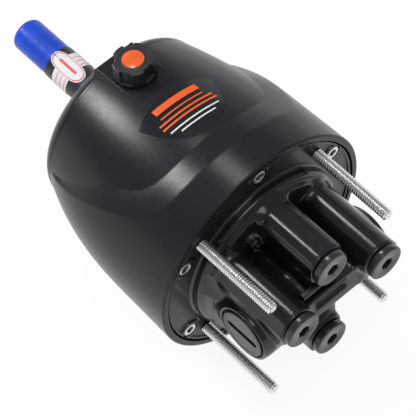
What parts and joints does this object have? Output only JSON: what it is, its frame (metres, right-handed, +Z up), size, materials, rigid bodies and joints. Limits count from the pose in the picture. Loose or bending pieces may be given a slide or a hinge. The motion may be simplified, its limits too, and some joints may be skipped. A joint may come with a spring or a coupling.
{
  "type": "hydraulic helm pump",
  "caption": "Dashboard-mounted hydraulic steering pump for a boat: domed dark housing with fill cap, capped wheel shaft, and a black valve body with studs and plugged ports behind.",
  "frame": {"origin": "centre of the mounting face, where the shaft axis meets the rear plane of the housing rim", "axes": "+Y to the rear along the studs, -Y to the front along the wheel shaft, +Z up through the fill cap, +X to the pump's side"},
  "size_m": [0.166, 0.3038, 0.166],
  "materials": {
    "housing_paint": "satin dark grey-black coat",
    "casting_paint": "gloss black coat",
    "steel": "bright stainless steel",
    "plug_black": "satin black coat",
    "black_plastic": "satin black plastic",
    "black_gloss_plastic": "glossy black plastic",
    "blue_vinyl": "glossy blue vinyl",
    "orange": "glossy orange dome",
    "paper": "white paper with red lines",
    "rubber": "black rubber",
    "bronze": "bearing bronze",
    "aluminium": "bare cast aluminium"
  },
  "bodies": {
    "pump": {"front_housing": "housing_paint", "valve_body": "casting_paint", "housing_seal": "rubber", "cover_screws": "steel", "mounting_studs": "steel", "nose_bush": "bronze", "shaft_seal": "rubber", "bearing_outer_ring": "steel", "pump_case": "aluminium", "case_screws": "steel", "swash_plate": "aluminium", "thrust_race": "steel", "valve_plate": "bronze", "top_plug": "plug_black", "bottom_plug": "plug_black", "left_plug": "plug_black", "right_plug": "plug_black", "plug_seals": "rubber", "top_check_spring": "steel", "bottom_check_spring": "steel", "left_check_spring": "steel", "right_check_spring": "steel", "left_port_plug": "black_gloss_plastic", "right_port_plug": "black_gloss_plastic", "port_seals": "rubber"},
    "shaft": {"steering_shaft": "steel", "shaft_key": "steel", "drive_pin": "steel", "retaining_ring": "steel", "bearing_inner_ring": "steel", "pump_rotor": "steel", "piston_springs": "steel", "taper_sleeve": "black_plastic", "shaft_cap": "blue_vinyl", "shaft_tag": "paper"},
    "bearing_set": {"bearing_balls": "steel", "bearing_cage": "bronze"},
    "cap_lift": {"cap_gasket": "rubber"},
    "fill_cap": {"fill_cap": "black_plastic", "cap_badge": "orange"},
    "piston_1": {"piston_1": "steel"},
    "piston_2": {"piston_2": "steel"},
    "piston_3": {"piston_3": "steel"},
    "piston_4": {"piston_4": "steel"},
    "piston_5": {"piston_5": "steel"},
    "top_check": {"top_check_ball": "steel"},
    "bottom_check": {"bottom_check_ball": "steel"},
    "left_check": {"left_check_ball": "steel"},
    "right_check": {"right_check_ball": "steel"}
  },
  "joints": [
    {"name": "shaft_spin", "type": "hinge", "parent": "pump", "child": "shaft", "pos_m": [0, -0.12, 0], "axis": [0, -1, 0], "continuous": true},
    {"name": "cage_spin", "type": "hinge", "parent": "pump", "child": "bearing_set", "pos_m": [0, -0.10305, 0], "axis": [0, -1, 0], "continuous": true},
    {"name": "cap_lift", "type": "slide", "parent": "pump", "child": "cap_lift", "axis": [0, -0.0872, 0.9962], "range_m": [0, 0.01]},
    {"name": "cap_turn", "type": "hinge", "parent": "cap_lift", "child": "fill_cap", "pos_m": [0, -0.1135, 0.0675], "axis": [0, -0.0872, 0.9962], "range_deg": [0, 1440]},
    {"name": "piston_1_stroke", "type": "slide", "parent": "shaft", "child": "piston_1", "axis": [0, -1, 0], "range_m": [0, 0.0097]},
    {"name": "piston_2_stroke", "type": "slide", "parent": "shaft", "child": "piston_2", "axis": [0, -1, 0], "range_m": [0, 0.0097]},
    {"name": "piston_3_stroke", "type": "slide", "parent": "shaft", "child": "piston_3", "axis": [0, -1, 0], "range_m": [0, 0.0097]},
    {"name": "piston_4_stroke", "type": "slide", "parent": "shaft", "child": "piston_4", "axis": [0, -1, 0], "range_m": [0, 0.0097]},
    {"name": "piston_5_stroke", "type": "slide", "parent": "shaft", "child": "piston_5", "axis": [0, -1, 0], "range_m": [0, 0.0097]},
    {"name": "top_check_lift", "type": "slide", "parent": "pump", "child": "top_check", "axis": [0, 1, 0], "range_m": [0, 0.002], "stiffness_N_per_m": 300, "springref_m": -0.002, "deforming": ["top_check_spring"]},
    {"name": "bottom_check_lift", "type": "slide", "parent": "pump", "child": "bottom_check", "axis": [0, 1, 0], "range_m": [0, 0.002], "stiffness_N_per_m": 300, "springref_m": -0.002, "deforming": ["bottom_check_spring"]},
    {"name": "left_check_lift", "type": "slide", "parent": "pump", "child": "left_check", "axis": [0, 1, 0], "range_m": [0, 0.002], "stiffness_N_per_m": 300, "springref_m": -0.002, "deforming": ["left_check_spring"]},
    {"name": "right_check_lift", "type": "slide", "parent": "pump", "child": "right_check", "axis": [0, 1, 0], "range_m": [0, 0.002], "stiffness_N_per_m": 300, "springref_m": -0.002, "deforming": ["right_check_spring"]}
  ],
  "couplings": [
    {"joint": "cage_spin", "follows": "shaft_spin", "ratio": 0.395},
    {"joint": "cap_turn", "follows": "cap_lift", "rad_per_m": 2513.3}
  ]
}
